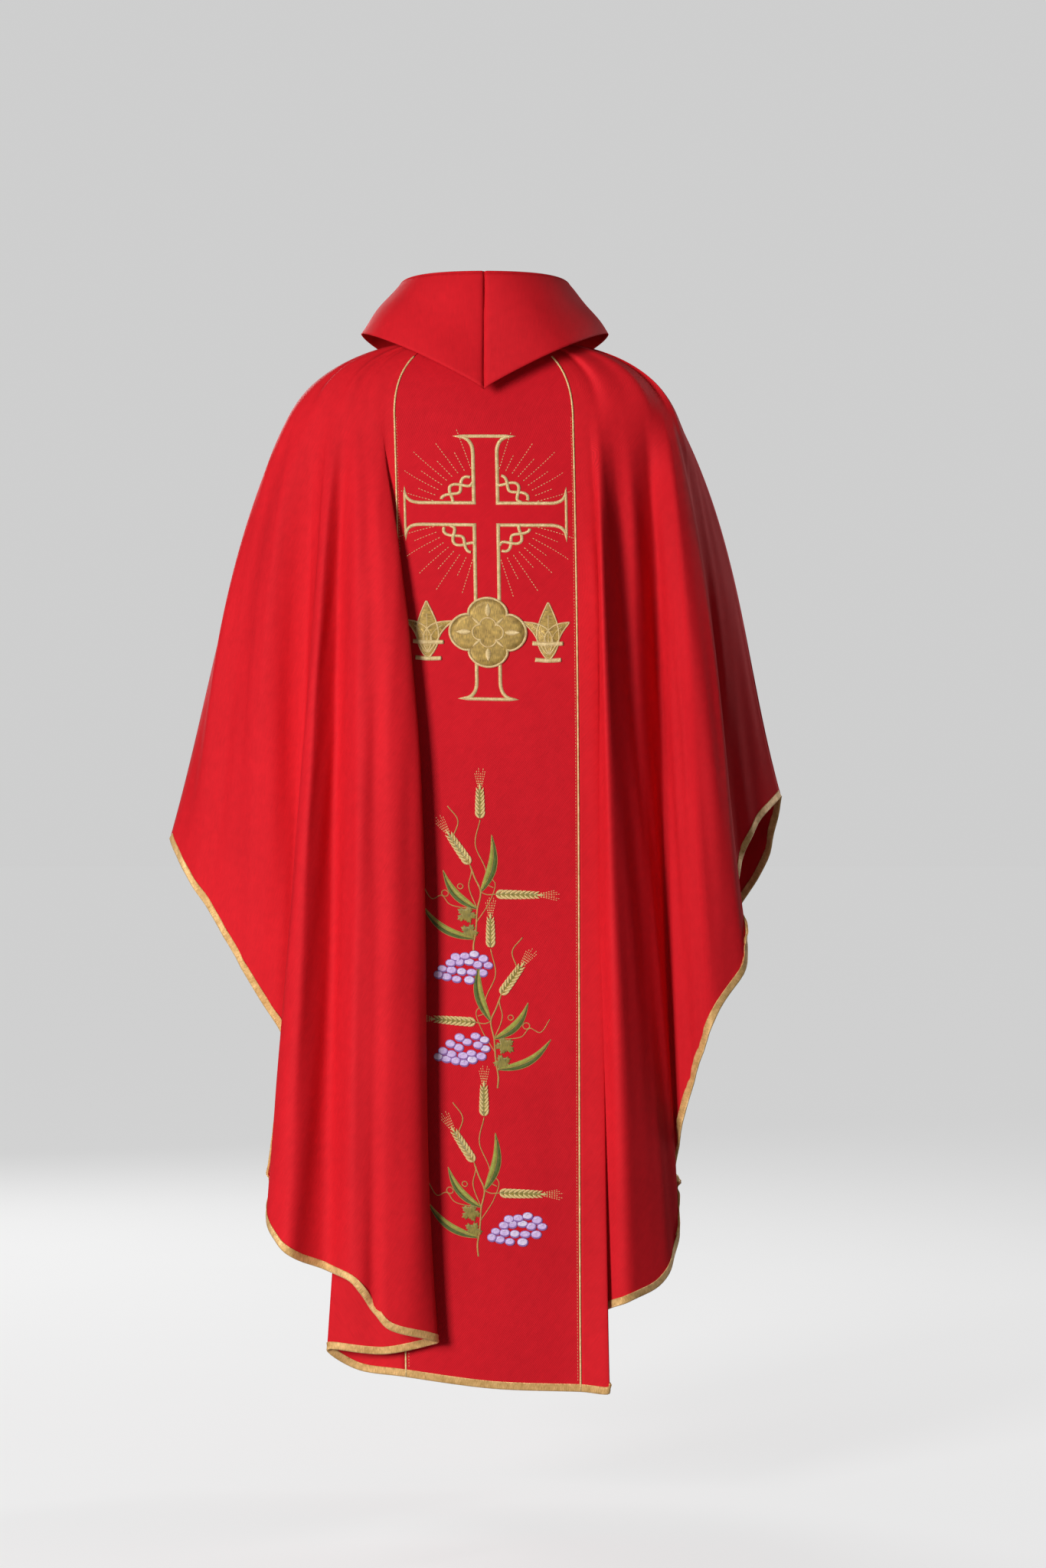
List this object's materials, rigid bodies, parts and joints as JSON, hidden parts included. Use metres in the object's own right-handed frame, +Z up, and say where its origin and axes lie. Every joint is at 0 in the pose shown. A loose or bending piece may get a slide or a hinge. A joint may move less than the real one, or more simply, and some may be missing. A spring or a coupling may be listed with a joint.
{
  "type": "chasuble",
  "caption": "Wide sleeveless liturgical vestment with a pointed collar, straight centre bands, gold piping and hem, embroidered cross and vine.",
  "frame": {"origin": "centre of the neck opening, where the garment is carried by its wearer", "axes": "+Z up, the wearer faces -Y, the wearer's left is +X"},
  "size_m": [0.8036, 0.4554, 1.4284],
  "materials": {
    "red_cloth": "soft-sheen fine twill",
    "orphrey_cloth": "fine ribbed weave",
    "collar_cloth": "soft-sheen fine twill, stiffened",
    "gold_braid": "metallic gold woven braid",
    "gold_cord": "metallic gold piping cord",
    "gold_thread": "satin-stitch gold embroidery",
    "leaf_thread": "satin-stitch green embroidery with gold edge",
    "wheat_thread": "satin-stitch pale gold embroidery",
    "grape_thread": "satin-stitch lilac embroidery"
  },
  "bodies": {
    "root": {"back_cross_outline": "gold_thread", "back_crown_lower_left": "gold_thread", "back_crown_lower_right": "gold_thread", "back_crown_upper_left": "gold_thread", "back_crown_upper_right": "gold_thread", "back_hem_binding": "gold_braid", "back_lower_spray_grapes": "grape_thread", "back_lower_spray_vine": "leaf_thread", "back_lower_spray_wheat_ear_1": "wheat_thread", "back_lower_spray_wheat_ear_2": "wheat_thread", "back_lower_spray_wheat_ear_3": "wheat_thread", "back_middle_spray_grapes": "grape_thread", "back_middle_spray_vine": "leaf_thread", "back_middle_spray_wheat_ear_1": "wheat_thread", "back_middle_spray_wheat_ear_2": "wheat_thread", "back_middle_spray_wheat_ear_3": "wheat_thread", "back_ornament_left": "gold_thread", "back_ornament_middle": "gold_thread", "back_ornament_right": "gold_thread", "back_orphrey": "orphrey_cloth", "back_panel_left": "red_cloth", "back_panel_right": "red_cloth", "back_piping_left": "gold_cord", "back_piping_right": "gold_cord", "back_upper_spray_grapes": "grape_thread", "back_upper_spray_vine": "leaf_thread", "back_upper_spray_wheat_ear_1": "wheat_thread", "back_upper_spray_wheat_ear_2": "wheat_thread", "back_upper_spray_wheat_ear_3": "wheat_thread", "collar_left": "collar_cloth", "collar_right": "collar_cloth", "collar_stand_left": "collar_cloth", "collar_stand_right": "collar_cloth", "front_cross_outline": "gold_thread", "front_hem_binding": "gold_braid", "front_ornament": "gold_thread", "front_orphrey": "orphrey_cloth", "front_panel_left": "red_cloth", "front_panel_right": "red_cloth", "front_piping_left": "gold_cord", "front_piping_right": "gold_cord"}
  },
  "joints": []
}
